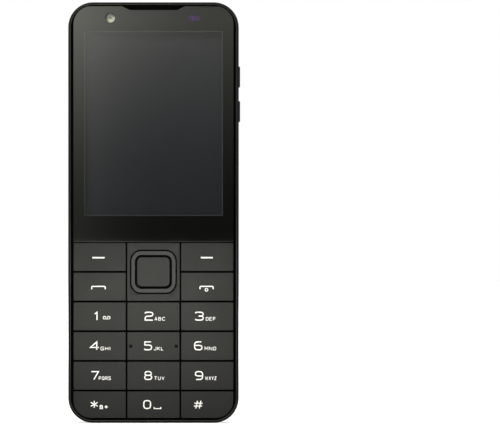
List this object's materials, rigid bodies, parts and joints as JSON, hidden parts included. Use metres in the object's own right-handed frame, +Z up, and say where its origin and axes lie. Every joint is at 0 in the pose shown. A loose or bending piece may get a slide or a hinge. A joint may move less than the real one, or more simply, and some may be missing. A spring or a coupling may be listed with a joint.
{
  "type": "mobile phone",
  "caption": "Bar-shaped keypad mobile phone: display behind a window, number and navigation keys, side volume keys, lift-off rear cover with a small card door.",
  "frame": {"origin": "middle of the bottom edge, halfway through the depth of the body", "axes": "+X to the right seen from the display side, +Y from the display to the back, +Z up along the length"},
  "size_m": [0.0538, 0.0125, 0.1315],
  "materials": {
    "housing_black": "satin moulded black",
    "frame_black": "matt moulded black",
    "cover_black": "matt black with a fine grain",
    "key_grey": "matt dark grey with printed legends",
    "window_glass": "clear, black printed border",
    "display_black": "unlit display",
    "lamp_clear": "frosted clear plastic lens",
    "module_black": "moulded black",
    "rubber_grey": "silicone",
    "steel": "stamped or turned steel",
    "board_green": "solder mask",
    "film_amber": "polyimide film",
    "battery_grey": "wrapped aluminium can, plain label",
    "film_white": "white film"
  },
  "bodies": {
    "root": {"front_housing": "housing_black", "rear_frame": "frame_black", "nav_surround": "key_grey", "display_window": "window_glass", "camera_lens": "window_glass", "lcd_panel": "display_black", "front_flash_lens": "lamp_clear", "rear_flash_lens": "lamp_clear", "front_camera": "module_black", "rear_camera_module": "module_black", "camera_plate": "module_black", "earpiece_receiver": "module_black", "loudspeaker": "module_black", "battery_connector": "module_black", "keypad_mat": "rubber_grey", "lcd_tray": "steel", "earpiece_mesh": "steel", "shield_can": "steel", "card_reader": "steel", "sim_holder": "steel", "usb_socket": "steel", "microphone": "steel", "vibration_motor": "steel", "camera_ring": "steel", "frame_screw_1": "steel", "frame_screw_2": "steel", "frame_screw_3": "steel", "frame_screw_4": "steel", "circuit_board": "board_green", "dome_sheet": "film_amber", "side_key_flex": "film_amber", "battery": "battery_grey", "lcd_backlight": "film_white", "rear_flash_led": "film_white"},
    "soft_key_left": {"soft_key_left": "key_grey"},
    "soft_key_right": {"soft_key_right": "key_grey"},
    "call_key": {"call_key": "key_grey"},
    "end_key": {"end_key": "key_grey"},
    "key_1": {"key_1": "key_grey"},
    "key_2": {"key_2": "key_grey"},
    "key_3": {"key_3": "key_grey"},
    "key_4": {"key_4": "key_grey"},
    "key_5": {"key_5": "key_grey"},
    "key_6": {"key_6": "key_grey"},
    "key_7": {"key_7": "key_grey"},
    "key_8": {"key_8": "key_grey"},
    "key_9": {"key_9": "key_grey"},
    "key_star": {"key_star": "key_grey"},
    "key_0": {"key_0": "key_grey"},
    "key_hash": {"key_hash": "key_grey"},
    "nav_key": {"nav_key": "key_grey"},
    "volume_up_key": {"volume_up_key": "module_black"},
    "volume_down_key": {"volume_down_key": "module_black"},
    "nav_carrier": {"nav_ring_carrier": "module_black"},
    "nav_ring": {"nav_ring": "key_grey"},
    "back_cover": {"back_cover": "cover_black", "card_door_pin": "steel"},
    "card_door": {"card_door": "cover_black"}
  },
  "joints": [
    {"name": "soft_key_left_press", "type": "slide", "parent": "root", "child": "soft_key_left", "axis": [0, 1, 0], "range_m": [0, 0.0003], "stiffness_N_per_m": 3000, "springref_m": -0.0001},
    {"name": "soft_key_right_press", "type": "slide", "parent": "root", "child": "soft_key_right", "axis": [0, 1, 0], "range_m": [0, 0.0003], "stiffness_N_per_m": 3000, "springref_m": -0.0001},
    {"name": "call_key_press", "type": "slide", "parent": "root", "child": "call_key", "axis": [0, 1, 0], "range_m": [0, 0.0003], "stiffness_N_per_m": 3000, "springref_m": -0.0001},
    {"name": "end_key_press", "type": "slide", "parent": "root", "child": "end_key", "axis": [0, 1, 0], "range_m": [0, 0.0003], "stiffness_N_per_m": 3000, "springref_m": -0.0001},
    {"name": "key_1_press", "type": "slide", "parent": "root", "child": "key_1", "axis": [0, 1, 0], "range_m": [0, 0.0003], "stiffness_N_per_m": 3000, "springref_m": -0.0001},
    {"name": "key_2_press", "type": "slide", "parent": "root", "child": "key_2", "axis": [0, 1, 0], "range_m": [0, 0.0003], "stiffness_N_per_m": 3000, "springref_m": -0.0001},
    {"name": "key_3_press", "type": "slide", "parent": "root", "child": "key_3", "axis": [0, 1, 0], "range_m": [0, 0.0003], "stiffness_N_per_m": 3000, "springref_m": -0.0001},
    {"name": "key_4_press", "type": "slide", "parent": "root", "child": "key_4", "axis": [0, 1, 0], "range_m": [0, 0.0003], "stiffness_N_per_m": 3000, "springref_m": -0.0001},
    {"name": "key_5_press", "type": "slide", "parent": "root", "child": "key_5", "axis": [0, 1, 0], "range_m": [0, 0.0003], "stiffness_N_per_m": 3000, "springref_m": -0.0001},
    {"name": "key_6_press", "type": "slide", "parent": "root", "child": "key_6", "axis": [0, 1, 0], "range_m": [0, 0.0003], "stiffness_N_per_m": 3000, "springref_m": -0.0001},
    {"name": "key_7_press", "type": "slide", "parent": "root", "child": "key_7", "axis": [0, 1, 0], "range_m": [0, 0.0003], "stiffness_N_per_m": 3000, "springref_m": -0.0001},
    {"name": "key_8_press", "type": "slide", "parent": "root", "child": "key_8", "axis": [0, 1, 0], "range_m": [0, 0.0003], "stiffness_N_per_m": 3000, "springref_m": -0.0001},
    {"name": "key_9_press", "type": "slide", "parent": "root", "child": "key_9", "axis": [0, 1, 0], "range_m": [0, 0.0003], "stiffness_N_per_m": 3000, "springref_m": -0.0001},
    {"name": "key_star_press", "type": "slide", "parent": "root", "child": "key_star", "axis": [0, 1, 0], "range_m": [0, 0.0003], "stiffness_N_per_m": 3000, "springref_m": -0.0001},
    {"name": "key_0_press", "type": "slide", "parent": "root", "child": "key_0", "axis": [0, 1, 0], "range_m": [0, 0.0003], "stiffness_N_per_m": 3000, "springref_m": -0.0001},
    {"name": "key_hash_press", "type": "slide", "parent": "root", "child": "key_hash", "axis": [0, 1, 0], "range_m": [0, 0.0003], "stiffness_N_per_m": 3000, "springref_m": -0.0001},
    {"name": "nav_key_press", "type": "slide", "parent": "root", "child": "nav_key", "axis": [0, 1, 0], "range_m": [0, 0.0003], "stiffness_N_per_m": 3000, "springref_m": -0.0001},
    {"name": "nav_tilt_up_down", "type": "hinge", "parent": "root", "child": "nav_carrier", "pos_m": [0, -0.0044, 0.04722], "axis": [1, 0, 0], "range_deg": [-1.5, 1.5], "stiffness_Nm_per_rad": 0.35},
    {"name": "nav_tilt_left_right", "type": "hinge", "parent": "nav_carrier", "child": "nav_ring", "pos_m": [0, -0.0048, 0.04722], "axis": [0, 0, 1], "range_deg": [-1.5, 1.5], "stiffness_Nm_per_rad": 0.35},
    {"name": "volume_up_key_press", "type": "slide", "parent": "root", "child": "volume_up_key", "axis": [-1, 0, 0], "range_m": [0, 0.00025], "stiffness_N_per_m": 3000, "springref_m": -0.0001},
    {"name": "volume_down_key_press", "type": "slide", "parent": "root", "child": "volume_down_key", "axis": [-1, 0, 0], "range_m": [0, 0.00025], "stiffness_N_per_m": 3000, "springref_m": -0.0001},
    {"name": "back_cover_lift", "type": "slide", "parent": "root", "child": "back_cover", "axis": [0, 1, 0], "range_m": [0, 0.02]},
    {"name": "card_door_hinge", "type": "hinge", "parent": "back_cover", "child": "card_door", "pos_m": [-0.0261, 0.00225, 0.1066], "axis": [0, 0, 1], "range_deg": [0, 90]}
  ]
}
